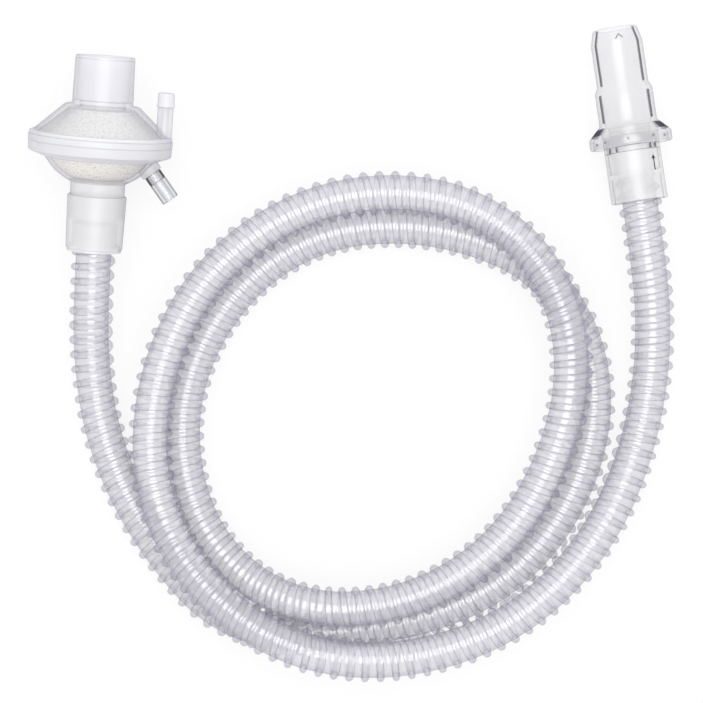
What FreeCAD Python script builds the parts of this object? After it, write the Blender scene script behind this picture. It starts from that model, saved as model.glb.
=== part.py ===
import FreeCAD, Part
import math
import os
from types import SimpleNamespace

import Sketcher
from FreeCAD import Placement, Rotation, Vector

# A single-limb breathing circuit as it lies on a table: a breathing filter at one end, a ribbed
# hose in two and a half loose turns, and a one-way exhalation valve at the other end.
# X runs from the filter to the valve, Z is up, and the table is at Z = 0.
SIZES = {
    # Where the filter and the valve lie: flange centre, valve mouth, and the way they point
    "filter_place_x": -104.3,
    "filter_place_y": -2.5,
    "filter_lean": 4.4,
    "filter_tip_up": 8.6,
    "valve_place_x": 109.95,
    "valve_place_y": 46.4,
    "valve_lean": 8.36,
    # Hose and the two sockets that hold its ends
    "hose_diameter": 18.5,
    "hose_socket_depth": 10.5,
    "hose_socket_play": 0.05,
    "hose_end_gap": 0.1,
    # Cuff between the filter's neck and the hose
    "cuff_length": 22.2,
    "cuff_end_wall": 2.5,
    "cuff_mouth_wall": 1.0,
    "cuff_stop_radius": 8.0,
    "cuff_stop_thickness": 1.8,
    "cuff_lip_step": 1.6,
    "cuff_lip_depth": 1.4,
    # Lower housing: neck and bowl
    "neck_radius": 11.3,
    "neck_wall": 1.3,
    "neck_exposed": 5.3,
    "neck_play": 0.05,
    "bowl_depth": 9.8,
    "bowl_round": 23.0,
    "bowl_rim_inset": 7.1,
    "bowl_edge_wall": 1.5,
    "bowl_wall": 1.6,
    "bowl_foot_wall": 1.25,
    "bowl_rim_wall": 1.1,
    "rim_bevel_drop": 2.5,
    "rim_bevel_wall": 0.2,
    # Rim where the two housings are welded
    "rim_radius": 29.7,
    "rim_foot_step": 4.0,
    "rim_top_step": 1.5,
    "band_proud": 0.3,
    "band_wall": 2.2,
    "band_height": 2.7,
    "chamber_wall": 1.55,
    "tongue_gap": 0.05,
    "rim_edge_break": 0.6,
    # Upper housing: dome and the 22 mm socket on top of it
    "dome_height": 11.7,
    "dome_edge_wall": 1.7,
    "dome_top_radius": 15.1,
    "dome_wall": 1.5,
    "socket_length": 20.1,
    "socket_foot_wall": 1.55,
    "socket_mouth_wall": 1.15,
    "socket_bore": 11.1,
    "socket_bore_depth": 18.3,
    "socket_throat_step": 1.6,
    # Upright sampling port on the rim, with its cap
    "port_inset": 3.6,
    "port_radius": 3.3,
    "port_height": 12.6,
    "port_bore_radius": 1.6,
    "port_bore_depth": 13.8,
    "cap_radius": 3.75,
    "cap_top_radius": 3.4,
    "cap_collar": 1.5,
    "cap_height": 6.0,
    "cap_plug_length": 4.0,
    "cap_plug_play": 0.05,
    # Slanted port under the rim: boss and clear stub
    "stub_angle": 38.9,
    "stub_drop": 5.1,
    "stub_radius": 3.7,
    "stub_bore_radius": 2.1,
    "stub_length": 13.2,
    "stub_insert": 1.6,
    "stub_insert_step": 0.5,
    "stub_play": 0.02,
    "boss_radius": 4.5,
    "boss_proud": 2.45,
    "boss_root": 1.0,
    # What fills the filter
    "pad_play": 0.3,
    "pad_top_play": 0.6,
    "exchanger_top_gap": 0.2,
    "exchanger_play": 0.4,
    "exchanger_shoulder": 0.7,
    # Valve inlet: sleeve over the hose, inner seat tube, windows for the breath that leaves
    "sleeve_length": 21.6,
    "sleeve_end_wall": 2.6,
    "sleeve_top_radius": 11.7,
    "sleeve_wall": 1.1,
    "web_thickness": 2.0,
    "seat_tube_radius": 8.9,
    "seat_tube_wall": 1.3,
    "window_height": 3.2,
    "window_width": 2.4,
    "window_count": 10,
    "collar_height": 3.2,
    # Valve outlet: spigot, barrel, skirt and the 22 mm end that goes to the patient
    "spigot_length": 3.0,
    "spigot_play": 0.05,
    "exhaust_seat_overlap": 0.9,
    "barrel_radius": 12.1,
    "barrel_wall": 1.5,
    "barrel_length": 14.0,
    "skirt_radius": 17.3,
    "skirt_wall": 1.4,
    "skirt_hang": 4.4,
    "skirt_rim_height": 4.4,
    "skirt_flare": 5.0,
    "shoulder_height": 2.4,
    "patient_end_radius": 10.8,
    "patient_end_length": 17.7,
    "patient_end_wall": 1.5,
    "nose_length": 5.9,
    "nose_taper": 1.5,
    # Shutter that moves between the two seats
    "shutter_overlap": 0.6,
    "shutter_rim": 1.2,
    "shutter_seat_gap": 0.05,
    "lips_foot_radius": 5.6,
    "lips_top_radius": 2.6,
    "lips_height": 5.0,
    "lips_wall": 0.8,
    "lips_slit": 0.4,
}

# Where the hose runs between its two straight ends, with its turns lying over each other
HOSE_ROUTE = [
    (-110.0, -93.0, 11.0), (-106.0, -122.0, 9.3), (-95.0, -150.5, 9.3), (-78.5, -176.5, 9.3),
    (-57.5, -199.5, 9.3), (-28.0, -209.5, 9.3), (3.0, -206.0, 9.3), (33.0, -200.5, 9.3),
    (61.5, -188.0, 9.3), (83.5, -166.5, 9.3), (98.0, -139.0, 9.3), (103.5, -108.5, 9.3),
    (97.0, -78.0, 9.3), (78.5, -53.0, 9.3), (50.0, -40.0, 9.3), (19.5, -35.0, 9.3),
    (-11.0, -38.5, 9.3), (-38.5, -53.0, 9.3), (-59.0, -76.5, 9.3), (-71.0, -105.0, 9.3),
    (-72.0, -136.0, 9.3), (-62.5, -165.5, 9.3), (-41.5, -187.5, 15.5), (-13.5, -197.0, 26.0),
    (18.0, -194.5, 26.0), (46.0, -182.5, 24.0), (69.0, -161.5, 22.0), (84.0, -134.5, 22.0),
    (92.0, -105.0, 25.0), (90.0, -74.0, 28.5), (75.5, -46.5, 28.5), (50.5, -28.0, 25.0),
    (20.5, -21.5, 22.5), (-10.5, -25.0, 23.0), (-38.5, -38.0, 23.5), (-61.5, -58.5, 24.0),
    (-77.0, -85.5, 24.5), (-84.5, -115.5, 24.0), (-83.5, -146.5, 24.0), (-71.5, -174.5, 27.0),
    (-50.5, -197.5, 29.5), (-23.5, -212.5, 32.5), (6.0, -218.5, 24.5), (36.5, -215.0, 21.0),
    (65.0, -203.5, 21.0), (89.0, -184.5, 20.0), (107.5, -159.5, 18.0), (119.5, -132.0, 11.5),
    (126.0, -103.0, 9.4), (127.0, -73.5, 12.5),
]
# How far the two ends of the hose run straight on from their sockets
HOSE_LEAD = 31.0
# Share of the shorter run that each bend of the hose takes up
BEND_SHARE = 0.45

doc = FreeCAD.newDocument("breathing_circuit")
sheet = doc.addObject("Spreadsheet::Sheet", "Sizes")


class Size:
    """A length with its value and the expression that binds it to the sheet."""

    def __init__(self, value, text):
        self.value = value
        self.text = text

    def joined(self, other, sign, value):
        return Size(value, "(%s %s %s)" % (self.text, sign, size_of(other).text))

    def __add__(self, other):
        return self.joined(other, "+", self.value + size_of(other).value)

    def __sub__(self, other):
        return self.joined(other, "-", self.value - size_of(other).value)

    def __mul__(self, other):
        return self.joined(other, "*", self.value * size_of(other).value)

    def __truediv__(self, other):
        return self.joined(other, "/", self.value / size_of(other).value)


def size_of(item):
    return item if isinstance(item, Size) else Size(float(item), repr(float(item)))


def fill_sheet():
    for row, (alias, value) in enumerate(SIZES.items(), start=1):
        sheet.set("A%d" % row, alias)
        sheet.set("B%d" % row, str(value))
        sheet.setAlias("B%d" % row, alias)
    doc.recompute()


fill_sheet()
dim = SimpleNamespace(**{alias: Size(float(value), "Sizes." + alias) for alias, value in SIZES.items()})

# Radii of the filter's rim, from its welded band in to the chamber that the halves close
band_radius = dim.rim_radius + dim.band_proud
band_inner = band_radius - dim.band_wall
tongue_radius = band_inner - dim.tongue_gap
chamber_radius = tongue_radius - dim.chamber_wall
bowl_rim_radius = dim.rim_radius - dim.bowl_rim_inset
bowl_inner_radius = bowl_rim_radius - dim.bowl_edge_wall
dome_foot_radius = chamber_radius + dim.dome_edge_wall
port_offset = dim.rim_radius - dim.port_inset

# Radii that follow from the hose, the valve's sleeve and the shutter
hose_bore = dim.hose_diameter / 2 + dim.hose_socket_play
sleeve_bore = dim.sleeve_top_radius - dim.sleeve_wall
spigot_radius = sleeve_bore - dim.spigot_play
seat_tube_bore = dim.seat_tube_radius - dim.seat_tube_wall
shutter_radius = dim.seat_tube_radius + dim.shutter_overlap
exhaust_seat_bore = shutter_radius - dim.exhaust_seat_overlap
barrel_bore = dim.barrel_radius - dim.barrel_wall

# Heights along the filter, from the end of its cuff up to its mouth
neck_foot = dim.hose_socket_depth + dim.cuff_stop_thickness + dim.neck_play
bowl_foot = dim.cuff_length + dim.neck_exposed
bevel_foot = bowl_foot + dim.bowl_depth
rim_foot = bevel_foot + dim.rim_bevel_drop
band_foot = rim_foot + dim.rim_foot_step
band_top = band_foot + dim.band_height
rim_top = band_top + dim.rim_top_step
parting = band_foot + dim.band_height / 2
rim_middle = (rim_foot + rim_top) / 2
dome_top = rim_top + dim.dome_height
filter_mouth = dome_top + dim.socket_length

# Heights along the valve, from the end of its sleeve up to its mouth
web_foot = dim.hose_socket_depth
web_top = web_foot + dim.web_thickness
seat = dim.sleeve_length
window_top = seat + dim.window_height
collar_top = window_top + dim.collar_height
exhaust_seat = collar_top - dim.spigot_length
skirt_foot = collar_top - dim.skirt_hang
skirt_corner = skirt_foot + dim.skirt_rim_height
skirt_top = skirt_corner + dim.skirt_flare
barrel_top = skirt_top + dim.barrel_length
patient_end_foot = barrel_top + dim.shoulder_height
patient_end_tip = patient_end_foot + dim.patient_end_length
valve_mouth = patient_end_tip + dim.nose_length


def origin_plane(body, role):
    return next(item for item in body.Origin.OriginFeatures if item.Role == role)


def arc_centre(start, end, radius, side):
    """The centre of the arc that arc_through makes, and the direction it bows in."""
    chord = end - start
    across = Vector(-chord.y, chord.x, 0).normalize() * side
    depth = math.sqrt(radius ** 2 - (chord.Length / 2) ** 2)
    return (start + end) * 0.5 - across * depth, across


def arc_through(start, end, radius, side):
    """The shorter arc of this radius from start to end; side says which way it bows."""
    centre, across = arc_centre(start, end, radius, side)
    return Part.Arc(start, centre + across * radius, end)


def draw_outline(sketch, outline):
    """Closed outline of (radius, height) corners; a corner with two more values is reached by an arc."""
    corners = [Vector(size_of(item[0]).value, size_of(item[1]).value, 0) for item in outline]
    total = len(outline)
    ends = []
    for index in range(total):
        start, end = corners[index], corners[(index + 1) % total]
        reached = outline[(index + 1) % total]
        if len(reached) > 2:
            edge = sketch.addGeometry(arc_through(start, end, reached[2].value, reached[3]))
            swapped = sketch.Geometry[edge].StartPoint.distanceToPoint(start) > 1e-6
            ends.append((edge, 2, 1) if swapped else (edge, 1, 2))
            number = sketch.addConstraint(Sketcher.Constraint("Radius", edge, reached[2].value))
            sketch.setExpression("Constraints[%d]" % number, reached[2].text)
        else:
            ends.append((sketch.addGeometry(Part.LineSegment(start, end)), 1, 2))
    for index, (edge, first, last) in enumerate(ends):
        following = ends[(index + 1) % total]
        sketch.addConstraint(Sketcher.Constraint("Coincident", edge, last, following[0], following[1]))
        for kind, axis, size in (("DistanceX", -2, outline[index][0]), ("DistanceY", -1, outline[index][1])):
            size = size_of(size)
            if size.value == 0:
                sketch.addConstraint(Sketcher.Constraint("PointOnObject", edge, first, axis))
                continue
            number = sketch.addConstraint(Sketcher.Constraint(kind, -1, 1, edge, first, size.value))
            sketch.setExpression("Constraints[%d]" % number, size.text)


def turn_outline(body, outline, feature, name):
    sketch = body.newObject("Sketcher::SketchObject", name + "_outline")
    sketch.AttachmentSupport = [(origin_plane(body, "XZ_Plane"), "")]
    sketch.MapMode = "FlatFace"
    draw_outline(sketch, outline)
    turn = body.newObject(feature, name)
    turn.Profile = sketch
    turn.ReferenceAxis = (sketch, ["V_Axis"])
    turn.Angle = 360
    doc.recompute()


def turned(label, outline, hollow=None):
    """A body turned about its Z axis from a closed outline, with an outline turned out of it."""
    body = doc.addObject("PartDesign::Body", label)
    turn_outline(body, outline, "PartDesign::Revolution", label + "_turn")
    if hollow:
        turn_outline(body, hollow, "PartDesign::Groove", label + "_hollow")
    return body


def break_rings(body, rings, size):
    """Breaks the round edges of a turned body that lie at these (radius, height) places."""
    base, names = body.Tip, []
    for number, edge in enumerate(base.Shape.Edges, start=1):
        if not isinstance(edge.Curve, Part.Circle):
            continue
        for ring_radius, ring_height in rings:
            near = abs(edge.Curve.Radius - ring_radius.value) < 1e-4
            if near and abs(edge.Curve.Center.z - size_of(ring_height).value) < 1e-4:
                names.append("Edge%d" % number)
    chamfer = body.newObject("PartDesign::Chamfer", body.Name + "_broken_edges")
    chamfer.Base = (base, names)
    chamfer.setExpression("Size", size.text)
    doc.recompute()


def cylinder(label, radius, height, placement):
    solid = doc.addObject("Part::Cylinder", label)
    solid.setExpression("Radius", size_of(radius).text)
    solid.setExpression("Height", size_of(height).text)
    solid.Placement = placement
    return solid


def fused(label, first, second):
    result = doc.addObject("Part::Fuse", label)
    result.Base = first
    result.Tool = second
    return result


def cut(label, base, tool):
    result = doc.addObject("Part::Cut", label)
    result.Base = base
    result.Tool = tool
    return result


def at_height(height, offset=0.0):
    return Placement(Vector(offset, 0, height.value), Rotation())


def place_filter():
    """The filter leans in the table's plane and its mouth is tipped up, resting on its rim."""
    turn = Rotation(Vector(0, 0, 1), -dim.filter_lean.value).multiply(
        Rotation(Vector(1, 0, 0), dim.filter_tip_up.value - 90))
    tip = math.radians(dim.filter_tip_up.value)
    rest = dim.rim_radius.value * math.cos(tip) + (rim_middle - rim_foot).value * math.sin(tip)
    centre = Vector(dim.filter_place_x.value, dim.filter_place_y.value, rest)
    return Placement(centre, turn).multiply(at_height(size_of(-rim_middle.value)))


def place_valve():
    """The valve lies flat on the rim of its skirt, mouth up the table."""
    turn = Rotation(Vector(0, 0, 1), dim.valve_lean.value).multiply(Rotation(Vector(1, 0, 0), -90))
    mouth = Vector(dim.valve_place_x.value, dim.valve_place_y.value, dim.skirt_radius.value)
    return Placement(mouth, turn).multiply(at_height(size_of(-valve_mouth.value)))


filter_place = place_filter()
valve_place = place_valve()


def filter_cuff():
    neck_bore = dim.neck_radius + dim.neck_play
    lip_radius = hose_bore + dim.cuff_lip_step
    stop_top = dim.hose_socket_depth + dim.cuff_stop_thickness
    return turned("filter_cuff", [
        (lip_radius, 0),
        (hose_bore + dim.cuff_end_wall, 0),
        (neck_bore + dim.cuff_mouth_wall, dim.cuff_length),
        (neck_bore, dim.cuff_length),
        (neck_bore, stop_top),
        (dim.cuff_stop_radius, stop_top),
        (dim.cuff_stop_radius, dim.hose_socket_depth),
        (hose_bore, dim.hose_socket_depth),
        (hose_bore, dim.cuff_lip_depth),
        (lip_radius, dim.cuff_lip_depth),
    ])


def bowl_outside(height):
    """The radius of the bowl's outside at this height."""
    neck_end = Vector(dim.neck_radius.value, bowl_foot.value, 0)
    rim_end = Vector(bowl_rim_radius.value, bevel_foot.value, 0)
    centre, across = arc_centre(neck_end, rim_end, dim.bowl_round.value, -1)
    return centre.x + math.sqrt(dim.bowl_round.value ** 2 - (height - centre.y) ** 2)


def stub_place(along):
    """A place on the slanted port's axis, this far out from the bowl, facing outwards."""
    angle = math.radians(dim.stub_angle.value)
    height = (rim_foot - dim.stub_drop).value
    foot = Vector(bowl_outside(height), 0, height)
    out = Vector(math.sin(angle), 0, -math.cos(angle))
    return Placement(foot + out * along, Rotation(Vector(0, 0, 1), out))


def filter_lower_housing():
    inner_round = dim.bowl_round - dim.bowl_wall
    neck_bore = dim.neck_radius - dim.neck_wall
    tongue_top = parting - dim.tongue_gap / 2
    shell = turned("lower_shell", [
        (0, neck_foot),
        (dim.neck_radius, neck_foot),
        (dim.neck_radius, bowl_foot),
        (bowl_rim_radius, bevel_foot, dim.bowl_round, -1),
        (dim.rim_radius, rim_foot),
        (dim.rim_radius, band_foot),
        (tongue_radius, band_foot),
        (tongue_radius, tongue_top),
        (0, tongue_top),
    ], hollow=[
        (0, neck_foot),
        (neck_bore, neck_foot),
        (neck_bore, bowl_foot + dim.bowl_foot_wall),
        (bowl_inner_radius, bevel_foot + dim.bowl_rim_wall, inner_round, -1),
        (chamber_radius, rim_foot + dim.rim_bevel_wall),
        (chamber_radius, tongue_top),
        (0, tongue_top),
    ])
    break_rings(shell, [(dim.rim_radius, rim_foot)], dim.rim_edge_break)
    boss = cylinder("slanted_boss", dim.boss_radius, dim.boss_proud + dim.boss_root, stub_place(-dim.boss_root.value))
    with_boss = fused("lower_with_boss", shell, boss)
    socket = cylinder("slanted_socket", dim.stub_radius - dim.stub_insert_step + dim.stub_play, dim.stub_insert,
                      stub_place(dim.boss_proud.value - dim.stub_insert.value))
    hole = cylinder("slanted_hole", dim.stub_bore_radius, dim.bowl_wall * 6, stub_place(-3 * dim.bowl_wall.value))
    return cut("filter_lower_housing", cut("lower_with_socket", with_boss, socket), hole)


def filter_upper_housing():
    tongue_foot = parting + dim.tongue_gap / 2
    throat_foot = dome_top - dim.dome_wall
    bore_foot = filter_mouth - dim.socket_bore_depth
    throat_radius = dim.socket_bore - dim.socket_throat_step
    form = turned("upper_form", [
        (0, tongue_foot),
        (tongue_radius, tongue_foot),
        (tongue_radius, band_top),
        (dim.rim_radius, band_top),
        (dim.rim_radius, rim_top),
        (dome_foot_radius, rim_top),
        (dim.dome_top_radius, dome_top),
        (dim.socket_bore + dim.socket_foot_wall, dome_top),
        (dim.socket_bore + dim.socket_mouth_wall, filter_mouth),
        (0, filter_mouth),
    ])
    break_rings(form, [(dim.rim_radius, rim_top), (dim.dome_top_radius, dome_top)], dim.rim_edge_break)
    hollow = turned("upper_hollow", [
        (0, tongue_foot),
        (chamber_radius, tongue_foot),
        (chamber_radius, rim_top - dim.dome_wall / 2),
        (dim.dome_top_radius - dim.dome_wall, throat_foot),
        (throat_radius, throat_foot),
        (throat_radius, bore_foot),
        (dim.socket_bore, bore_foot),
        (dim.socket_bore, filter_mouth),
        (0, filter_mouth),
    ])
    post = cylinder("port_post", dim.port_radius, dim.rim_top_step + dim.port_height,
                    at_height(band_top, port_offset.value))
    bore = cylinder("port_bore", dim.port_bore_radius, dim.port_bore_depth,
                    at_height(rim_top + dim.port_height - dim.port_bore_depth, port_offset.value))
    shell = cut("upper_shell", fused("upper_with_port", form, post), hollow)
    return cut("filter_upper_housing", shell, bore)


def filter_weld_band():
    band = turned("filter_weld_band", [
        (band_inner, band_foot), (band_radius, band_foot), (band_radius, band_top), (band_inner, band_top),
    ])
    break_rings(band, [(band_radius, band_foot), (band_radius, band_top)], dim.rim_edge_break)
    return band


def filter_pad():
    """A felt plug that fills the chamber and the dome above it."""
    foot = rim_middle - dim.exchanger_top_gap
    edge = chamber_radius - dim.pad_play
    top = dome_top - dim.dome_wall - dim.pad_top_play
    return turned("filter_pad", [
        (0, foot),
        (edge, foot),
        (edge, rim_top - dim.dome_wall / 2 - dim.pad_play),
        (dim.dome_top_radius - dim.dome_wall - dim.pad_play * 2, top),
        (0, top),
    ])


def moisture_exchanger():
    """A paper roll that fills the bowl and follows its inside."""
    top = rim_middle - dim.exchanger_top_gap * 2
    edge = chamber_radius - dim.exchanger_play * 2
    foot = bowl_foot + dim.bowl_wall + dim.exchanger_play
    corner_height = bevel_foot + dim.bowl_rim_wall + dim.exchanger_play
    return turned("moisture_exchanger", [
        (0, foot),
        (dim.neck_radius - dim.neck_wall, foot),
        (bowl_inner_radius - dim.exchanger_play, corner_height,
         dim.bowl_round - dim.bowl_wall - dim.exchanger_play, -1),
        (edge, rim_foot + dim.exchanger_shoulder),
        (edge, top),
        (0, top),
    ])


def sampling_port_cap():
    plug = dim.port_bore_radius - dim.cap_plug_play
    return turned("sampling_port_cap", [
        (0, 0),
        (plug, 0),
        (plug, dim.cap_plug_length),
        (dim.cap_radius, dim.cap_plug_length),
        (dim.cap_radius, dim.cap_plug_length + dim.cap_collar),
        (dim.cap_top_radius, dim.cap_plug_length + dim.cap_height),
        (0, dim.cap_plug_length + dim.cap_height),
    ])


def slanted_port_stub():
    insert_radius = dim.stub_radius - dim.stub_insert_step
    return turned("slanted_port_stub", [
        (dim.stub_bore_radius, 0),
        (insert_radius, 0),
        (insert_radius, dim.stub_insert),
        (dim.stub_radius, dim.stub_insert),
        (dim.stub_radius, dim.stub_insert + dim.stub_length),
        (dim.stub_bore_radius, dim.stub_insert + dim.stub_length),
    ])


def valve_inlet_body():
    shell = turned("inlet_shell", [
        (hose_bore, 0),
        (hose_bore + dim.sleeve_end_wall, 0),
        (dim.sleeve_top_radius, seat),
        (dim.sleeve_top_radius, collar_top),
        (sleeve_bore, collar_top),
        (sleeve_bore, web_top),
        (dim.seat_tube_radius, web_top),
        (dim.seat_tube_radius, seat),
        (seat_tube_bore, seat),
        (seat_tube_bore, web_foot),
        (hose_bore, web_foot),
    ])
    window = shell.newObject("Sketcher::SketchObject", "window_outline")
    window.AttachmentSupport = [(origin_plane(shell, "XZ_Plane"), "")]
    window.MapMode = "FlatFace"
    half = dim.window_width / 2
    corners = [(-half.value, seat.value), (half.value, seat.value),
               (half.value, window_top.value), (-half.value, window_top.value)]
    for index in range(4):
        start, end = corners[index], corners[(index + 1) % 4]
        window.addGeometry(Part.LineSegment(Vector(*start, 0), Vector(*end, 0)))
    for index in range(4):
        window.addConstraint(Sketcher.Constraint("Coincident", index, 2, (index + 1) % 4, 1))
    for edge, kind in ((2, "Horizontal"), (1, "Vertical"), (3, "Vertical")):
        window.addConstraint(Sketcher.Constraint(kind, edge))
    window.addConstraint(Sketcher.Constraint("Symmetric", 0, 1, 0, 2, -2))
    for kind, first, second, size in (("DistanceX", (0, 1), (0, 2), dim.window_width),
                                      ("DistanceY", (-1, 1), (0, 1), seat),
                                      ("DistanceY", (-1, 1), (1, 2), window_top)):
        number = window.addConstraint(Sketcher.Constraint(kind, *first, *second, size.value))
        window.setExpression("Constraints[%d]" % number, size.text)
    opening = shell.newObject("PartDesign::Pocket", "window_cut")
    opening.Profile = window
    opening.Type = 1
    opening.Reversed = False
    doc.recompute()
    ring = shell.newObject("PartDesign::PolarPattern", "window_ring")
    ring.Originals = [opening]
    ring.Axis = (window, ["V_Axis"])
    ring.Angle = 360
    ring.setExpression("Occurrences", dim.window_count.text)
    shell.Tip = ring
    doc.recompute()
    shell.Label = "valve_inlet_body"
    return shell


def valve_outlet_body():
    nose_radius = dim.patient_end_radius - dim.nose_taper
    skirt_inner = dim.skirt_radius - dim.skirt_wall
    body = turned("valve_outlet_body", [
        (exhaust_seat_bore, exhaust_seat),
        (spigot_radius, exhaust_seat),
        (spigot_radius, collar_top),
        (dim.barrel_radius, collar_top),
        (dim.barrel_radius, skirt_top - dim.skirt_wall),
        (skirt_inner, skirt_corner - dim.skirt_wall / 2),
        (skirt_inner, skirt_foot),
        (dim.skirt_radius, skirt_foot),
        (dim.skirt_radius, skirt_corner),
        (dim.barrel_radius, skirt_top),
        (dim.barrel_radius, barrel_top),
        (dim.patient_end_radius, patient_end_foot),
        (dim.patient_end_radius, patient_end_tip),
        (nose_radius, valve_mouth),
        (nose_radius - dim.patient_end_wall, valve_mouth),
        (dim.patient_end_radius - dim.patient_end_wall, patient_end_tip),
        (dim.patient_end_radius - dim.patient_end_wall, patient_end_foot),
        (barrel_bore, barrel_top - dim.shoulder_height / 2),
        (barrel_bore, skirt_top + dim.skirt_wall),
        (exhaust_seat_bore, skirt_top - dim.skirt_wall),
    ])
    rings = [(dim.skirt_radius, skirt_corner), (dim.barrel_radius, skirt_top), (dim.barrel_radius, barrel_top)]
    break_rings(body, rings, dim.rim_edge_break)
    return body


def valve_shutter():
    """A silicone disc with lips in its middle that open towards the patient."""
    rim_top_height = dim.shutter_rim
    disc = turned("shutter_disc", [
        (dim.lips_foot_radius - dim.lips_wall, 0),
        (shutter_radius, 0),
        (shutter_radius, rim_top_height),
        (dim.lips_foot_radius, rim_top_height),
        (dim.lips_top_radius, rim_top_height + dim.lips_height),
        (0, rim_top_height + dim.lips_height),
        (0, rim_top_height + dim.lips_height - dim.lips_wall),
        (dim.lips_top_radius - dim.lips_wall / 2, rim_top_height + dim.lips_height - dim.lips_wall),
        (dim.lips_foot_radius - dim.lips_wall, rim_top_height),
    ])
    slit = doc.addObject("Part::Box", "lips_opening")
    slit.setExpression("Length", (dim.lips_top_radius * 2 - dim.lips_wall).text)
    slit.setExpression("Width", dim.lips_slit.text)
    slit.setExpression("Height", (dim.lips_wall * 3).text)
    slit.Placement = Placement(Vector(-(dim.lips_top_radius - dim.lips_wall / 2).value, -dim.lips_slit.value / 2,
                                      (rim_top_height + dim.lips_height - dim.lips_wall * 2).value), Rotation())
    return cut("valve_shutter", disc, slit)


def hose_path(points):
    """Straight runs joined by arcs that touch them, each arc as large as its two runs allow."""
    edges, radii, last = [], [], points[0]
    for before, corner, after in zip(points, points[1:], points[2:]):
        back, on = before - corner, after - corner
        reach = BEND_SHARE * min(back.Length, on.Length)
        back.normalize()
        on.normalize()
        half_turn = (math.pi - back.getAngle(on)) / 2
        radius = reach / math.tan(half_turn)
        radii.append(radius)
        inward = (back + on).normalize()
        start, end = corner + back * reach, corner + on * reach
        middle = corner + inward * (math.hypot(radius, reach) - radius)
        edges.append(Part.LineSegment(last, start).toShape())
        edges.append(Part.Arc(start, middle, end).toShape())
        last = end
    edges.append(Part.LineSegment(last, points[-1]).toShape())
    return Part.Wire(edges), radii


def hose():
    radius = dim.hose_diameter.value / 2
    depth = dim.hose_socket_depth.value - dim.hose_end_gap.value
    filter_end = filter_place.multVec(Vector(0, 0, depth))
    filter_lead = filter_place.multVec(Vector(0, 0, depth - HOSE_LEAD))
    valve_end = valve_place.multVec(Vector(0, 0, depth))
    valve_lead = valve_place.multVec(Vector(0, 0, depth - HOSE_LEAD))
    points = [filter_end, filter_lead, *[Vector(*point) for point in HOSE_ROUTE], valve_lead, valve_end]
    path, radii = hose_path(points)
    section = Part.Face(Part.Wire(Part.Circle(filter_end, filter_lead - filter_end, radius).toShape()))
    tube = path.makePipe(section)
    expected = math.pi * radius ** 2 * path.Length
    print("hose: length %.1f mm, tightest bend %.1f mm, volume %.4f of section times length"
          % (path.Length, min(radii), tube.Volume / expected))
    feature = doc.addObject("Part::Feature", "hose")
    feature.Shape = tube
    return feature


def build():
    parts = []
    for make in (filter_cuff, filter_lower_housing, filter_weld_band, filter_pad, moisture_exchanger,
                 filter_upper_housing):
        part = make()
        part.Placement = filter_place
        parts.append(part)
    cap = sampling_port_cap()
    cap_foot = rim_top + dim.port_height - dim.cap_plug_length
    cap.Placement = filter_place.multiply(at_height(cap_foot, port_offset.value))
    stub = slanted_port_stub()
    stub.Placement = filter_place.multiply(stub_place(dim.boss_proud.value - dim.stub_insert.value))
    parts += [cap, stub]
    for make in (valve_inlet_body, valve_outlet_body):
        part = make()
        part.Placement = valve_place
        parts.append(part)
    shutter = valve_shutter()
    shutter.Placement = valve_place.multiply(at_height(seat + dim.shutter_seat_gap))
    parts += [shutter, hose()]
    doc.recompute()
    return parts


def check(parts):
    for item in doc.Objects:
        if "Invalid" in item.State or "Error" in item.State:
            raise RuntimeError("%s did not build: %s" % (item.Label, item.State))
    for part in parts:
        if part.Shape.isNull() or not part.Shape.isValid() or len(part.Shape.Solids) != 1:
            raise RuntimeError("%s is not one valid solid" % part.Label)
        print("%-22s %9.1f mm3" % (part.Label, part.Shape.Volume))


parts = build()
check(parts)
os.makedirs("parts", exist_ok=True)
for part in parts:
    part.Shape.exportStep("parts/%s.step" % part.Label)
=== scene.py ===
# %% [markdown]
# # A ventilator breathing circuit
# One breathing hose with a filter at one end and a one-way valve at the other, seen from straight
# above. Almost everything here is see-through plastic, so the work is in thin walls, in the raised
# spiral that stiffens the hose, and in materials that let the layer below show.

# %% The measured frame
import math

import bmesh
import bpy
from mathutils import Matrix, Vector


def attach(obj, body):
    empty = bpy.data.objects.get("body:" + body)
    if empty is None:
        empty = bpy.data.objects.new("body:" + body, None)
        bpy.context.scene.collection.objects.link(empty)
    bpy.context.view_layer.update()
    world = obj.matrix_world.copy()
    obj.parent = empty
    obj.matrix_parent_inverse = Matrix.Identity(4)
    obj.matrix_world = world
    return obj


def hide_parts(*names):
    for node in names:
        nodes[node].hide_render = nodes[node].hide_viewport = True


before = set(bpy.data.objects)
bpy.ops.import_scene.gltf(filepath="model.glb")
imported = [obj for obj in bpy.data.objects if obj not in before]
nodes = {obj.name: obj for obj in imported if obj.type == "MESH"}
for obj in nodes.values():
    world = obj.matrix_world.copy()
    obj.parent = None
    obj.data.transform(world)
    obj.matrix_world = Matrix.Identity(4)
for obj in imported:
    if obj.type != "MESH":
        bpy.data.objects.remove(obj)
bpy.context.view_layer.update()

MM = 0.001


# %% [markdown]
# ## Two helpers for nodes
# Shaders and geometry trees are both made of nodes. One function adds a node with its settings and
# links, and one builds a named tree whose sizes can be set from outside.

# %% Node and colour helpers
def add(tree, kind, inputs=None, **settings):
    """Adds one node; a value in inputs is either a number or the socket to link from."""
    node = tree.nodes.new(kind)
    for name, value in settings.items():
        setattr(node, name, value)
    for name, value in (inputs or {}).items():
        if isinstance(value, bpy.types.NodeSocket):
            tree.links.new(value, node.inputs[name])
        else:
            node.inputs[name].default_value = value
    return node


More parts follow.
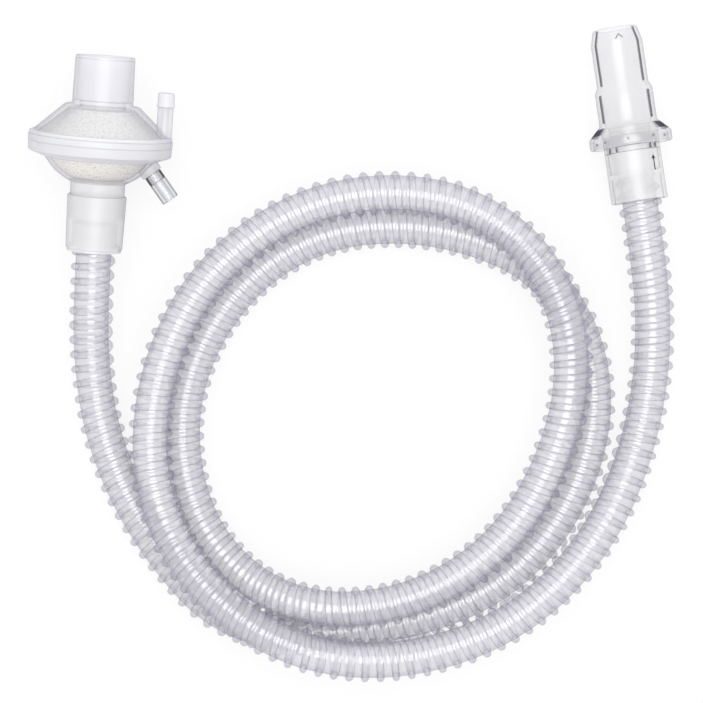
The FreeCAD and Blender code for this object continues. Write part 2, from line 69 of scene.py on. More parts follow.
def linear(hex_colour):
    """The linear colour of an sRGB hex value such as E6E6EE."""
    channels = [int(hex_colour[at:at + 2], 16) / 255 for at in (0, 2, 4)]
    return [c / 12.92 if c <= 0.04045 else ((c + 0.055) / 1.055) ** 2.4 for c in channels] + [1.0]


def geometry_tree(name, sizes):
    """An empty geometry tree with one named input for each size, a material and a geometry."""
    tree = bpy.data.node_groups.new(name, "GeometryNodeTree")
    tree.interface.new_socket("Geometry", in_out="INPUT", socket_type="NodeSocketGeometry")
    for label, kind in sizes.items():
        tree.interface.new_socket(label, in_out="INPUT", socket_type="NodeSocket" + kind)
    tree.interface.new_socket("Finish", in_out="INPUT", socket_type="NodeSocketMaterial")
    tree.interface.new_socket("Geometry", in_out="OUTPUT", socket_type="NodeSocketGeometry")
    return tree, tree.nodes.new("NodeGroupInput")


def close_tree(tree, start, geometry):
    """Ends a tree: instances made real, the material set, and the result sent out."""
    real = add(tree, "GeometryNodeRealizeInstances", {"Geometry": geometry})
    finish = add(tree, "GeometryNodeSetMaterial",
                 {"Geometry": real.outputs[0], "Material": start.outputs["Finish"]})
    tree.links.new(finish.outputs[0], tree.nodes.new("NodeGroupOutput").inputs[0])


def grown(name, base, tree, values):
    """Runs a tree on a mesh and returns the plain mesh object that comes out."""
    piece = bpy.data.objects.new(name, base)
    bpy.context.scene.collection.objects.link(piece)
    modifier = piece.modifiers.new(tree.name, "NODES")
    modifier.node_group = tree
    for item in tree.interface.items_tree:
        if item.in_out == "INPUT" and item.name in values:
            modifier[item.identifier] = values[item.name]
    bpy.context.view_layer.update()
    evaluated = piece.evaluated_get(bpy.context.evaluated_depsgraph_get())
    mesh = bpy.data.meshes.new_from_object(evaluated)
    piece.modifiers.clear()
    piece.data = mesh
    print("%s: %d faces" % (name, len(mesh.polygons)))
    return piece


# %% [markdown]
# ## The camera
# The photograph looks straight down. The upper turns of the hose look slightly larger than the
# lowest one, which puts the camera about 1.1 m above the table.

# %% Camera straight above
PHOTO_SIZE = 703        # pixels
FOCAL_LENGTH = 2600     # in the same pixels
CLIP_NEAR, CLIP_FAR = 0.05, 20
CAMERA_SPOT = Vector((-0.00025, -0.08885, 1.107))

camera_data = bpy.data.cameras.new("overhead_camera")
camera_data.angle = 2 * math.atan(PHOTO_SIZE / 2 / FOCAL_LENGTH)
camera_data.clip_start, camera_data.clip_end = CLIP_NEAR, CLIP_FAR
camera = bpy.data.objects.new("overhead_camera", camera_data)
camera.location = CAMERA_SPOT
bpy.context.scene.collection.objects.link(camera)
bpy.context.scene.camera = camera
print("camera %.2f m up, %.1f degrees wide" % (CAMERA_SPOT.z, math.degrees(camera_data.angle)))


# %% [markdown]
# ## Where the filter and the valve lie
# Both are turned parts, so each gets one matrix: its own Z axis runs from the hose to its mouth.
# The filter rests on the edge of its rim with its mouth tipped up, and the valve on its skirt.

# %% Places of the two ends
def turned_place(centre, lean, tip_up, back):
    """A place with its Z axis along the table, turned by lean and tipped up, in mm and degrees.

    centre is the point that lies back mm along that axis from the hose end.
    """
    return (Matrix.Translation(Vector(centre) * MM)
            @ Matrix.Rotation(math.radians(lean), 4, "Z")
            @ Matrix.Rotation(math.radians(tip_up - 90), 4, "X")
            @ Matrix.Translation((0, 0, -back * MM)))


RIM_MIDDLE, RIM_RADIUS, RIM_BELOW_MIDDLE = 43.9, 29.7, 4.1
FILTER_MOUTH, VALVE_MOUTH = 79.8, 73.0
FILTER_LEAN, FILTER_TIP_UP = -4.4, 8.6
VALVE_LEAN, SKIRT_RADIUS = 8.36, 17.3
rim_height = (RIM_RADIUS * math.cos(math.radians(FILTER_TIP_UP))
              + RIM_BELOW_MIDDLE * math.sin(math.radians(FILTER_TIP_UP)))
filter_place = turned_place((-104.3, -2.5, rim_height), FILTER_LEAN, FILTER_TIP_UP, RIM_MIDDLE)
valve_place = turned_place((109.95, 46.4, SKIRT_RADIUS), VALVE_LEAN, 0, VALVE_MOUTH)
print("filter mouth at", [round(v / MM, 1) for v in filter_place @ Vector((0, 0, FILTER_MOUTH * MM))])


# %% [markdown]
# ## The hose
# A breathing hose is blown film, about 15 mm across, with a round bead wound round it every
# 6.2 mm, so it bends without kinking. Its line is one smooth spline through the loose turns, on
# which the film and the bead are grown later. The points are where the hose's middle was measured,
# and the height of each turn follows from what it lies on.

# %% The hose's line
HOSE_ROUTE = [
    (-0.1100, -0.0930, 0.0110), (-0.1060, -0.1220, 0.0093), (-0.0950, -0.1505, 0.0093),
    (-0.0785, -0.1765, 0.0093), (-0.0575, -0.1995, 0.0093), (-0.0280, -0.2095, 0.0093),
    (0.0030, -0.2060, 0.0093), (0.0330, -0.2005, 0.0093), (0.0615, -0.1880, 0.0093),
    (0.0835, -0.1665, 0.0093), (0.0980, -0.1390, 0.0093), (0.1035, -0.1085, 0.0093),
    (0.0970, -0.0780, 0.0093), (0.0785, -0.0530, 0.0093), (0.0500, -0.0400, 0.0093),
    (0.0195, -0.0350, 0.0093), (-0.0110, -0.0385, 0.0093), (-0.0385, -0.0530, 0.0093),
    (-0.0590, -0.0765, 0.0093), (-0.0710, -0.1050, 0.0093), (-0.0720, -0.1360, 0.0093),
    (-0.0625, -0.1655, 0.0093), (-0.0415, -0.1875, 0.0155), (-0.0135, -0.1970, 0.0260),
    (0.0180, -0.1945, 0.0260), (0.0460, -0.1825, 0.0240), (0.0690, -0.1615, 0.0220),
    (0.0840, -0.1345, 0.0220), (0.0920, -0.1050, 0.0250), (0.0900, -0.0740, 0.0285),
    (0.0755, -0.0465, 0.0285), (0.0505, -0.0280, 0.0250), (0.0205, -0.0215, 0.0225),
    (-0.0105, -0.0250, 0.0230), (-0.0385, -0.0380, 0.0235), (-0.0615, -0.0585, 0.0240),
    (-0.0770, -0.0855, 0.0245), (-0.0845, -0.1155, 0.0240), (-0.0835, -0.1465, 0.0240),
    (-0.0715, -0.1745, 0.0270), (-0.0505, -0.1975, 0.0295), (-0.0235, -0.2125, 0.0325),
    (0.0060, -0.2185, 0.0245), (0.0365, -0.2150, 0.0210), (0.0650, -0.2035, 0.0210),
    (0.0890, -0.1845, 0.0200), (0.1075, -0.1595, 0.0180), (0.1195, -0.1320, 0.0115),
    (0.1260, -0.1030, 0.0094), (0.1270, -0.0735, 0.0125),
]
HOSE_DIAMETER = 18.5 * MM   # over the bead
HOSE_INSET = 10.4 * MM      # how far each end is pushed into its sleeve
HOSE_LEAD = 31.0 * MM       # how far it runs on straight from there
STEPS_PER_KNOT = 14
ends = [place @ Vector((0, 0, HOSE_INSET)) for place in (filter_place, valve_place)]
leads = [place @ Vector((0, 0, HOSE_INSET - HOSE_LEAD)) for place in (filter_place, valve_place)]
route = [ends[0], leads[0], *[Vector(point) for point in HOSE_ROUTE], leads[1], ends[1]]

line = bpy.data.curves.new("hose_line", "CURVE")
line.dimensions = "3D"
line.resolution_u = STEPS_PER_KNOT
spline = line.splines.new("NURBS")
spline.points.add(len(route) - 1)
for knot, point in zip(spline.points, route):
    knot.co = (*point, 1)
spline.order_u = 3
spline.use_endpoint_u = True
line_object = bpy.data.objects.new("hose_line", line)
bpy.context.scene.collection.objects.link(line_object)
bpy.context.view_layer.update()
line_mesh = bpy.data.meshes.new_from_object(line_object)
bpy.data.objects.remove(line_object)


# %% [markdown]
# ## See-through plastic
# The hose is wound from EVA film and bead, and the housings are moulded in clear styrene. Real
# refraction would need many samples and would be lost in an export. So each wall lets a share of
# the light straight through, and fills with a darker tint where it is seen at a slant. Over a
# white table a thin clear wall looks just like that: faint on its face and drawn at its edges.

# %% Materials of see-through plastic
FOLDS_PER_TURN = 2.0
FOLD_WANDER, WANDER_MM = 0.6, 5
CLOUD_RANGE = (0.30, 0.52)


def folded(tree, where, ripple_mm):
    """The bump of the film's small folds, which follow the winding and wander a little."""
    winding = add(tree, "ShaderNodeAttribute", attribute_name="turn").outputs["Fac"]
    wander = add(tree, "ShaderNodeTexNoise", {
        "Vector": where, "Scale": 1 / (WANDER_MM * MM)}).outputs["Fac"]
    shift = add(tree, "ShaderNodeMath", {0: wander, 1: FOLD_WANDER}, operation="MULTIPLY").outputs[0]
    folds = add(tree, "ShaderNodeMath", {0: winding, 1: FOLDS_PER_TURN, 2: shift}, operation="MULTIPLY_ADD")
    rise = add(tree, "ShaderNodeMath", {0: folds.outputs[0]}, operation="SINE").outputs[0]
    return add(tree, "ShaderNodeBump", {
        "Height": rise, "Distance": ripple_mm * MM, "Strength": 1.0}).outputs[0]


def clouded(tree, where, colour, mottle, mottle_mm):
    """The colour with clouds of this size that darken it by at most the share mottle."""
    clouds = add(tree, "ShaderNodeTexNoise", {
        "Vector": where, "Scale": 1 / (mottle_mm * MM), "Detail": 2.0})
    bright = add(tree, "ShaderNodeMapRange", {
        "Value": clouds.outputs["Fac"], "From Min": CLOUD_RANGE[0], "From Max": CLOUD_RANGE[1],
        "To Min": 1 - mottle, "To Max": 1.0}).outputs[0]
    return add(tree, "ShaderNodeVectorMath", {0: colour, "Scale": bright}, operation="SCALE").outputs[0]


def see_through(name, tints, fill, slant, gloss, roughness, mottle=0.0, mottle_mm=3.0, ripple_mm=0.0):
    """Clear plastic that goes from its face tint and fill to its edge ones between two slants.

    fill is the share of the light that a wall holds back, and a slant is 0 for a face that is seen
    straight on and 1 for one that is seen edge on.
    """
    material = bpy.data.materials.new(name)
    material.use_nodes = True
    tree = material.node_tree
    tree.nodes.clear()
    where = add(tree, "ShaderNodeTexCoord").outputs["Object"]
    facing = add(tree, "ShaderNodeLayerWeight", {"Blend": 0.5}).outputs["Facing"]
    depth = add(tree, "ShaderNodeMapRange", {
        "Value": facing, "From Min": slant[0], "From Max": slant[1]}).outputs[0]
    colour = add(tree, "ShaderNodeMix", {"Factor": depth, 6: linear(tints[0]), 7: linear(tints[1])},
                 data_type="RGBA").outputs[2]
    if mottle:
        colour = clouded(tree, where, colour, mottle, mottle_mm)
    body = add(tree, "ShaderNodeBsdfPrincipled", {
        "Base Color": colour, "Roughness": 0.6, "Specular IOR Level": 0.0})
    sheen = add(tree, "ShaderNodeBsdfGlossy", {"Roughness": roughness})
    if ripple_mm:
        bump = folded(tree, where, ripple_mm)
        for shader in (body, sheen):
            tree.links.new(bump, shader.inputs["Normal"])
    gap = add(tree, "ShaderNodeBsdfTransparent")
    held = add(tree, "ShaderNodeMapRange", {
        "Value": depth, "To Min": fill[0], "To Max": fill[1]}).outputs[0]
    wall = add(tree, "ShaderNodeMixShader", {"Fac": held, 1: gap.outputs[0], 2: body.outputs[0]})
    mirror = add(tree, "ShaderNodeMixShader", {"Fac": gloss, 1: wall.outputs[0], 2: sheen.outputs[0]})
    add(tree, "ShaderNodeOutputMaterial", {"Surface": mirror.outputs[0]})
    return material


# Thin cloudy film, which veils the turn below it evenly. Its folds break the lamp's reflection
# into dashes. They are drawn coarser than the real ones, which are finer than a pixel.
film = see_through("blown_eva_film", tints=("DDDCE5", "BAB8C9"),
                   fill=(0.37, 0.37), slant=(0.30, 0.60), gloss=0.12, roughness=0.10, ripple_mm=0.14)
# Clear on its face and filled where it is seen along its length, so the hose has grey knobs along
# both sides and only faint lines across.
bead = see_through("extruded_eva_bead", tints=("DEDDE6", "A2A0B5"),
                   fill=(0.05, 0.29), slant=(0.34, 0.52), gloss=0.04, roughness=0.25)
# The outside of a clear moulding: hardly there, with a soft grey line where it curves away.
skin = see_through("moulded_clear_styrene", tints=("D8D8DF", "B7B5C2"),
                   fill=(0.15, 0.55), slant=(0.45, 1.0), gloss=0.05, roughness=0.2)
# Polished faces of the same plastic, which all but vanish over white.
glassy = see_through("polished_clear_styrene", tints=("F6F6F9", "DCDBE3"),
                     fill=(0.04, 0.25), slant=(0.60, 1.0), gloss=0.03, roughness=0.2)
# The bore of a clear tube, which shows as a sharp dark line at both sides.
inner_wall = see_through("inside_of_clear_styrene", tints=("DCDCE2", "46434F"),
                         fill=(0.05, 0.92), slant=(0.50, 0.62), gloss=0.03, roughness=0.2)
# Styrene clouded by the weld: white and nearly solid.
rim = see_through("welded_clear_styrene", tints=("F3F3F6", "DAD8E2"),
                  fill=(0.66, 0.85), slant=(0.45, 1.0), gloss=0.03, roughness=0.35)
# Thick clear styrene: many small reflections make it pale violet and half solid.
lavender = see_through("thick_clear_styrene", tints=("ECEBF0", "C0BECA"),
                       fill=(0.50, 0.75), slant=(0.45, 1.0), gloss=0.03, roughness=0.28)
# Milky pigment and a matt mould: soft, even and hardly see-through.
milky = see_through("moulded_milky_eva", tints=("EFEFF1", "C2C0CA"),
                    fill=(0.58, 0.80), slant=(0.50, 1.0), gloss=0.04, roughness=0.35)
# Soft clear EVA with a fine grain, a bright haze over the hose inside it.
sleeve_wall = see_through("moulded_clear_eva", tints=("FBFBFC", "CFCED8"),
                          fill=(0.48, 0.34), slant=(0.55, 0.95), gloss=0.05, roughness=0.3)
# The bore of the same sleeve: a grey line at both sides.
seat_wall = see_through("inside_of_clear_eva", tints=("EDEDF1", "85838F"),
                        fill=(0.10, 0.80), slant=(0.60, 0.78), gloss=0.02, roughness=0.3)
# Inner edge of the bowl, a fine grey line where the wall is seen edge on.
bowl_line = see_through("inner_edge_of_bowl", tints=("E2E2E8", "74717F"),
                        fill=(0.04, 0.60), slant=(0.80, 0.95), gloss=0.02, roughness=0.2)
# The stub's foot, deep in its boss where little light gets: dark at both sides.
stub_foot = see_through("shadowed_foot_of_stub", tints=("C9C8D0", "4A4854"),
                        fill=(0.20, 0.85), slant=(0.14, 0.40), gloss=0.04, roughness=0.2)
# A sharp step in a moulding, which the eye reads as one thin line.
step_line = see_through("sharp_moulded_step", tints=("A8A6B1", "A8A6B1"),
                        fill=(0.38, 0.5), slant=(0.45, 1.0), gloss=0.03, roughness=0.3)
# A soft step such as a lead-in, a line that can only just be seen.
faint = see_through("moulded_step", tints=("CECCD6", "BCBAC6"),
                    fill=(0.22, 0.35), slant=(0.45, 1.0), gloss=0.03, roughness=0.3)
# The inside of the dome, a light haze over the felt.
dome_wall = see_through("inside_of_clear_dome", tints=("E2E2E8", "9C9AA5"),
                        fill=(0.04, 0.30), slant=(0.30, 0.60), gloss=0.02, roughness=0.2)
# A short thick tube: grey at both sides and clear along its middle.
stub_clear = see_through("short_clear_styrene_tube", tints=("D2D3DA", "5D5B66"),
                         fill=(0.28, 0.68), slant=(0.30, 0.75), gloss=0.06, roughness=0.15)
# Matt white with small clouds, drawn coarser than its fibres, which are too fine to see.
felt = see_through("needled_white_felt", tints=("FBFBF9", "FBFBF9"),
                   fill=(1.0, 1.0), slant=(0.3, 1.0), gloss=0.0, roughness=0.5, mottle=0.24, mottle_mm=0.8)
# Warm off-white with flecks for its folds, drawn coarser than the crimp itself.
paper = see_through("crimped_paper", tints=("FCF8F1", "FCF8F1"),
                    fill=(1.0, 1.0), slant=(0.3, 1.0), gloss=0.0, roughness=0.5, mottle=0.30, mottle_mm=0.85)
# Soft and pale, an even veil without edges.
silicone = see_through("moulded_silicone", tints=("F8F8FA", "EFEFF2"),
                       fill=(0.3, 0.3), slant=(0.3, 1.0), gloss=0.05, roughness=0.3)
# Thick and matt, the only solid dark on the product.
ink = see_through("printed_black_ink", tints=("2A2A30", "2A2A30"),
                  fill=(1.0, 1.0), slant=(0.3, 1.0), gloss=0.02, roughness=0.4)
# Small details in clear plastic gather shadow, so they get painted shade: solid grey spots.
painted_shade_grey = see_through("painted_shade_in_clear_styrene", tints=("77757F", "77757F"),
                       fill=(0.8, 0.9), slant=(0.3, 1.0), gloss=0.03, roughness=0.3)
print("materials:", len(bpy.data.materials))


# %% [markdown]
# ## The winding
# On the real hose a round bead is welded to the film while both are wound on a mandrel. A screw
# modifier bent along a curve would stretch the bead on the outer side of each bend. Here the
# hose's own line is moved outwards by an angle that grows with the distance run, so the pitch
# stays even in every bend, and a small circle is swept along the result.

# %% The bead that winds round the hose
HOSE_PITCH = 6.2 * MM
BEAD_RADIUS = 1.55 * MM
WINDING_RADIUS = HOSE_DIAMETER / 2 - BEAD_RADIUS
BEAD_STEPS, BEAD_SIDES = 22, 9      # steps in each turn, sides of the strand


def along_line(tree, start, step):
    """Even points along the incoming line, with the winding's angle, the normal and the side direction."""
    curve = add(tree, "GeometryNodeMeshToCurve", {"Mesh": start.outputs["Geometry"]})
    even = add(tree, "GeometryNodeResampleCurve", {"Curve": curve.outputs[0], "Length": step},
               mode="LENGTH")
    run = add(tree, "GeometryNodeSplineParameter").outputs["Length"]
    normal = add(tree, "GeometryNodeInputNormal").outputs[0]
    tangent = add(tree, "GeometryNodeInputTangent").outputs[0]
    side = add(tree, "ShaderNodeVectorMath", {0: tangent, 1: normal}, operation="CROSS_PRODUCT").outputs[0]
    turn = add(tree, "ShaderNodeMath", {0: run, 1: start.outputs["Pitch"]}, operation="DIVIDE")
    angle = add(tree, "ShaderNodeMath", {0: turn.outputs[0], 1: 2 * math.pi}, operation="MULTIPLY")
    return even.outputs[0], angle.outputs[0], normal, side


def swept(tree, path, radius, sides):
    """A tube of this radius along a path."""
    circle = add(tree, "GeometryNodeCurvePrimitiveCircle", {"Resolution": sides, "Radius": radius})
    tube = add(tree, "GeometryNodeCurveToMesh", {"Curve": path, "Profile Curve": circle.outputs[0]})
    return tube.outputs[0]


bead_tree, start = geometry_tree("wound_bead", {
    "Pitch": "Float", "Step": "Float", "Winding Radius": "Float", "Bead Radius": "Float"})
path, angle, normal, side = along_line(bead_tree, start, start.outputs["Step"])
across = add(bead_tree, "ShaderNodeMath", {0: angle}, operation="COSINE").outputs[0]
around = add(bead_tree, "ShaderNodeMath", {0: angle}, operation="SINE").outputs[0]
first = add(bead_tree, "ShaderNodeVectorMath", {0: normal, "Scale": across}, operation="SCALE").outputs[0]
second = add(bead_tree, "ShaderNodeVectorMath", {0: side, "Scale": around}, operation="SCALE").outputs[0]
out = add(bead_tree, "ShaderNodeVectorMath", {0: first, 1: second}, operation="ADD").outputs[0]
offset = add(bead_tree, "ShaderNodeVectorMath", {0: out, "Scale": start.outputs["Winding Radius"]},
             operation="SCALE")
helix = add(bead_tree, "GeometryNodeSetPosition", {"Geometry": path, "Offset": offset.outputs[0]})
tube = swept(bead_tree, helix.outputs[0], start.outputs["Bead Radius"], BEAD_SIDES)
close_tree(bead_tree, start, tube)
hose_bead = grown("hose_bead", line_mesh.copy(), bead_tree, {
    "Pitch": HOSE_PITCH, "Step": HOSE_PITCH / BEAD_STEPS, "Winding Radius": WINDING_RADIUS,
    "Bead Radius": BEAD_RADIUS, "Finish": bead})

# %% [markdown]
# ## The film
# A plain tube would do for the film, but its outline would be dead straight between the beads.
# So a circle is swept along the line and each point is moved by a small wave that follows the
# winding. The winding's angle is kept as the attribute turn, which the shader's folds follow.

# %% The film between the turns of the bead
FILM_RADIUS = 7.4 * MM
FILM_WAVE = 0.08 * MM
FILM_STEPS, FILM_SIDES = 12, 28

film_tree, start = geometry_tree("wound_film", {
    "Pitch": "Float", "Step": "Float", "Film Radius": "Float", "Wave": "Float"})
path, angle, normal, side = along_line(film_tree, start, start.outputs["Step"])
kept_path = add(film_tree, "GeometryNodeCaptureAttribute", {"Geometry": path})
centre = add(film_tree, "GeometryNodeInputPosition").outputs[0]
for label, kind, source in (("Turn", "FLOAT", angle), ("Normal", "VECTOR", normal),
                            ("Side", "VECTOR", side), ("Centre", "VECTOR", centre)):
    kept_path.capture_items.new(kind, label)
    film_tree.links.new(source, kept_path.inputs[label])
ring = add(film_tree, "GeometryNodeCurvePrimitiveCircle", {
    "Resolution": FILM_SIDES, "Radius": start.outputs["Film Radius"]})
corner_number = add(film_tree, "GeometryNodeInputIndex").outputs[0]
place_in_ring = add(film_tree, "ShaderNodeMath", {0: corner_number, 1: 2 * math.pi / FILM_SIDES},
                    operation="MULTIPLY").outputs[0]
kept_ring = add(film_tree, "GeometryNodeCaptureAttribute", {"Geometry": ring.outputs[0]})
kept_ring.capture_items.new("FLOAT", "Round")
film_tree.links.new(place_in_ring, kept_ring.inputs["Round"])
wrap = add(film_tree, "GeometryNodeCurveToMesh", {
    "Curve": kept_path.outputs["Geometry"], "Profile Curve": kept_ring.outputs["Geometry"],
    "Fill Caps": True})
phase = add(film_tree, "ShaderNodeMath", {0: kept_path.outputs["Turn"], 1: kept_ring.outputs["Round"]},
            operation="SUBTRACT").outputs[0]
swing = add(film_tree, "ShaderNodeMath", {0: phase}, operation="COSINE").outputs[0]
reach = add(film_tree, "ShaderNodeMath", {
    0: swing, 1: start.outputs["Wave"], 2: start.outputs["Film Radius"]}, operation="MULTIPLY_ADD").outputs[0]
parts_of_reach = []
for direction, turn in (("Normal", "COSINE"), ("Side", "SINE")):
    share = add(film_tree, "ShaderNodeMath", {0: kept_ring.outputs["Round"]}, operation=turn).outputs[0]
    length = add(film_tree, "ShaderNodeMath", {0: share, 1: reach}, operation="MULTIPLY").outputs[0]
    parts_of_reach.append(add(film_tree, "ShaderNodeVectorMath", {
        0: kept_path.outputs[direction], "Scale": length}, operation="SCALE").outputs[0])
outwards = add(film_tree, "ShaderNodeVectorMath", {0: parts_of_reach[0], 1: parts_of_reach[1]},
               operation="ADD")
spot = add(film_tree, "ShaderNodeVectorMath", {0: kept_path.outputs["Centre"], 1: outwards.outputs[0]},
           operation="ADD").outputs[0]
marked = add(film_tree, "GeometryNodeStoreNamedAttribute", {
    "Geometry": wrap.outputs[0], "Name": "turn", "Value": kept_path.outputs["Turn"]},
    data_type="FLOAT", domain="POINT")
waved = add(film_tree, "GeometryNodeSetPosition", {"Geometry": marked.outputs[0], "Position": spot})
close_tree(film_tree, start, waved.outputs[0])
hose_film = grown("hose_film", line_mesh.copy(), film_tree, {
    "Pitch": HOSE_PITCH, "Step": HOSE_PITCH / FILM_STEPS, "Film Radius": FILM_RADIUS,
    "Wave": FILM_WAVE, "Finish": film})

# %% [markdown]
# ## The hose's pieces
# The measured model has one plain rod for the hose. The film and the bead stand for it: both are
# shaded smooth and joined to the circuit, and the rod is hidden.

# %% The film and the bead in place of the rod
for piece in (hose_bead, hose_film):
    piece.data.shade_smooth()
    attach(piece, "circuit")
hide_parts("hose")

# %% [markdown]
# ## Turned mouldings
# The filter's halves, its ports and the valve's outlet are round mouldings, so each is one outline
# turned about the axis of its place. Each stretch of the outline has its own finish, because the
# same clear plastic looks milky where it is thick or welded, and shows a dark line where the eye
# meets its inner wall edge on.

# %% A helper that turns an outline
ROUND_STEPS = 144
SHARP_DEGREES = 28
ON_AXIS = Matrix.Identity(4)


def bowed(start, end, radius, pieces=10):
    """Points of the arc of this radius from start to end that bows away from the axis and the mouth."""
    start, end = Vector(start), Vector(end)
    chord = end - start
    away = Vector((chord.y, -chord.x)).normalized()
    centre = (start + end) / 2 - away * math.sqrt(radius ** 2 - (chord.length / 2) ** 2)
    first, last = start - centre, end - centre
    sweep = first.angle_signed(last)
    points = []
    for step in range(1, pieces):
        turn = Matrix.Rotation(-sweep * step / pieces, 2)
        points.append(tuple(centre + turn @ first))
    return points


def turned_piece(name, place, outlines, instead_of,
                 openings=(), opening_heights=(), opening_finishes=()):
    """Turns closed outlines of (radius, height, finish) corners in mm, each about its own Z axis.

    outlines are pairs of the axis's place in the piece and the outline, and instead_of is the
    measured node that the piece takes the place of. openings are (first, last) degrees round the
    wall that are left open between the two opening_heights. Of opening_finishes the first is for
    their sills and the second for their sides.
    """
    finishes, shape = list(opening_finishes), bmesh.new()
    for spot, outline in outlines:
        rings = []
        for radius, height, finish in outline:
            if finish not in finishes:
                finishes.append(finish)
            count = ROUND_STEPS if radius else 1
            turns = [2 * math.pi * step / count for step in range(count)]
            rings.append([shape.verts.new(place @ spot @ Vector((
                radius * MM * math.cos(t), radius * MM * math.sin(t), height * MM))) for t in turns])
        open_steps = {step for step in range(ROUND_STEPS) for first, last in openings
                      if first <= (step + 0.5) * 360 / ROUND_STEPS < last}
        pierced = []
        for ring, after, corner, next_corner in zip(
                rings, rings[1:] + rings[:1], outline, outline[1:] + outline[:1]):
            through = {corner[1], next_corner[1]} == set(opening_heights)
            if through:
                pierced.append((ring, after) if corner[1] < next_corner[1] else (after, ring))
            for step in range(ROUND_STEPS):
                if through and step in open_steps:
                    continue
                around = [ring[step % len(ring)], ring[(step + 1) % len(ring)],
                          after[(step + 1) % len(after)], after[step % len(after)]]
                around = list(dict.fromkeys(around))
                if len(around) > 2:
                    shape.faces.new(around).material_index = finishes.index(corner[2])
        for step in open_steps if pierced else ():
            (low, high), (inner_low, inner_high) = pierced
            on, back = (step + 1) % ROUND_STEPS, (step - 1) % ROUND_STEPS
            shape.faces.new((low[step], low[on], inner_low[on], inner_low[step]))
            shape.faces.new((high[step], high[on], inner_high[on], inner_high[step]))
            for edge, neighbour in ((step, back), (on, on)):
                if neighbour not in open_steps:
                    side_face = shape.faces.new((low[edge], high[edge], inner_high[edge], inner_low[edge]))
                    side_face.material_index = 1
    bmesh.ops.recalc_face_normals(shape, faces=shape.faces)
    mesh = bpy.data.meshes.new(name)
    shape.to_mesh(mesh)
    shape.free()
    for finish in finishes:
        mesh.materials.append(finish)
    mesh.shade_smooth()
    mesh.set_sharp_from_angle(angle=math.radians(SHARP_DEGREES))
    piece = bpy.data.objects.new(name, mesh)
    bpy.context.scene.collection.objects.link(piece)
    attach(piece, "circuit")
    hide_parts(instead_of)
    print("%s: %d faces" % (name, len(mesh.polygons)))


def corners(finish, *points):
    """Outline corners that share a finish; each stretch has the finish of the corner it starts at."""
    return [(radius, height, finish) for radius, height in points]


# %% [markdown]
# ## The filter's lower half
# A clear bowl between a milky neck and the rim, with a boss for the slanted port. On the real
# filter it is one moulding, so it is one piece here, with two outlines: the bowl turned about
# the filter's axis and the boss about the port's. A boolean between them would gain nothing.

# %% The filter's lower half: neck, bowl and the lower part of the rim
bowl_outside = bowed((11.3, 27.5), (22.6, 37.3), 23.0)
bowl_inside = bowed((10.0, 28.75), (21.1, 38.4), 21.4)
lower_outline = [
    *corners(milky, (11.3, 14.2), (11.3, 26.9), (11.45, 27.4)),
    *corners(skin, *bowl_outside, (22.6, 37.3)),
    *corners(rim, (23.1, 37.5), (28.9, 39.55), (29.45, 39.9), (29.7, 40.5), (29.7, 43.62), (29.5, 43.78),
             (27.75, 43.8)),
    *corners(rim, (27.75, 45.15), (26.2, 45.15), (26.2, 40.0)),
    *corners(bowl_line, (21.1, 38.4), *reversed(bowl_inside), (10.0, 28.75)),
    *corners(milky, (10.0, 14.2)),
]
PORT_SLANT = math.radians(38.9)
port_way = Matrix.Translation(Vector((20.86, 0, 34.7)) * MM) @ Matrix.Rotation(math.pi - PORT_SLANT, 4, "Y")
boss_outline = corners(
    lavender, (0, -1.0), (4.5, -1.0), (4.5, 1.9), (4.3, 2.35), (3.9, 2.45), (3.25, 2.45), (3.25, 0.9),
    (0, 0.9))
turned_piece("lower_half", filter_place, [(ON_AXIS, lower_outline), (port_way, boss_outline)],
             "filter_lower_housing")

# %% [markdown]
# ## The welded band
# A raised ring where the two halves are welded. A bevelled cylinder would look much the same,
# but an outline gives each of its small roundings exactly, and those catch the light as lines.

# %% The welded band round the rim
band_outline = corners(
    rim, (27.8, 43.8), (29.6, 43.8), (29.85, 44.0), (29.9, 44.3), (29.9, 46.0), (29.8, 46.35), (29.6, 46.5),
    (27.8, 46.5))
turned_piece("welded_band", filter_place, [(ON_AXIS, band_outline)],
             "filter_weld_band")

# %% [markdown]
# ## The filter's upper half
# Dome, socket and upright port are one clear moulding over white felt. The socket's shallow
# rings are stretches of the outline with a finish of their own, because grooves this shallow
# would hardly be seen if they were only cut.

# %% The filter's upper half: rim, dome, socket and the upright port
upper_outline = [
    *corners(rim, (27.75, 45.2), (27.75, 46.5), (29.45, 46.52), (29.65, 46.7), (29.7, 47.2), (29.45, 47.8),
             (28.9, 48.05)),
    *corners(skin, (27.95, 48.15), (16.2, 58.9), (15.7, 59.35), (15.0, 59.65), (13.2, 59.8)),
    *corners(lavender, (12.8, 60.0), (12.65, 60.5), (12.63, 61.3)),
    *corners(faint, (12.47, 61.4), (12.47, 61.7)),
    *corners(lavender, (12.62, 61.8), (12.32, 77.9)),
    *corners(faint, (12.31, 78.4)),
    *corners(lavender, (12.3, 79.0), (12.2, 79.5), (11.95, 79.8), (11.35, 79.8), (11.15, 79.5)),
    *corners(lavender, (11.1, 79.2), (11.1, 61.5), (9.5, 61.5)),
    *corners(glassy, (9.5, 58.2)),
    *corners(dome_wall, (13.6, 58.2), (26.2, 47.25)),
    *corners(rim, (26.2, 45.2)),
]
post_way = Matrix.Translation(Vector((26.1, 0, 0)) * MM)
post_outline = corners(
    lavender, (0, 46.6), (3.3, 46.6), (3.3, 60.2), (3.1, 60.6), (1.75, 60.6), (1.6, 60.4), (1.6, 47.6),
    (0, 47.6))
turned_piece("upper_half", filter_place, [(ON_AXIS, upper_outline), (post_way, post_outline)],
             "filter_upper_housing")

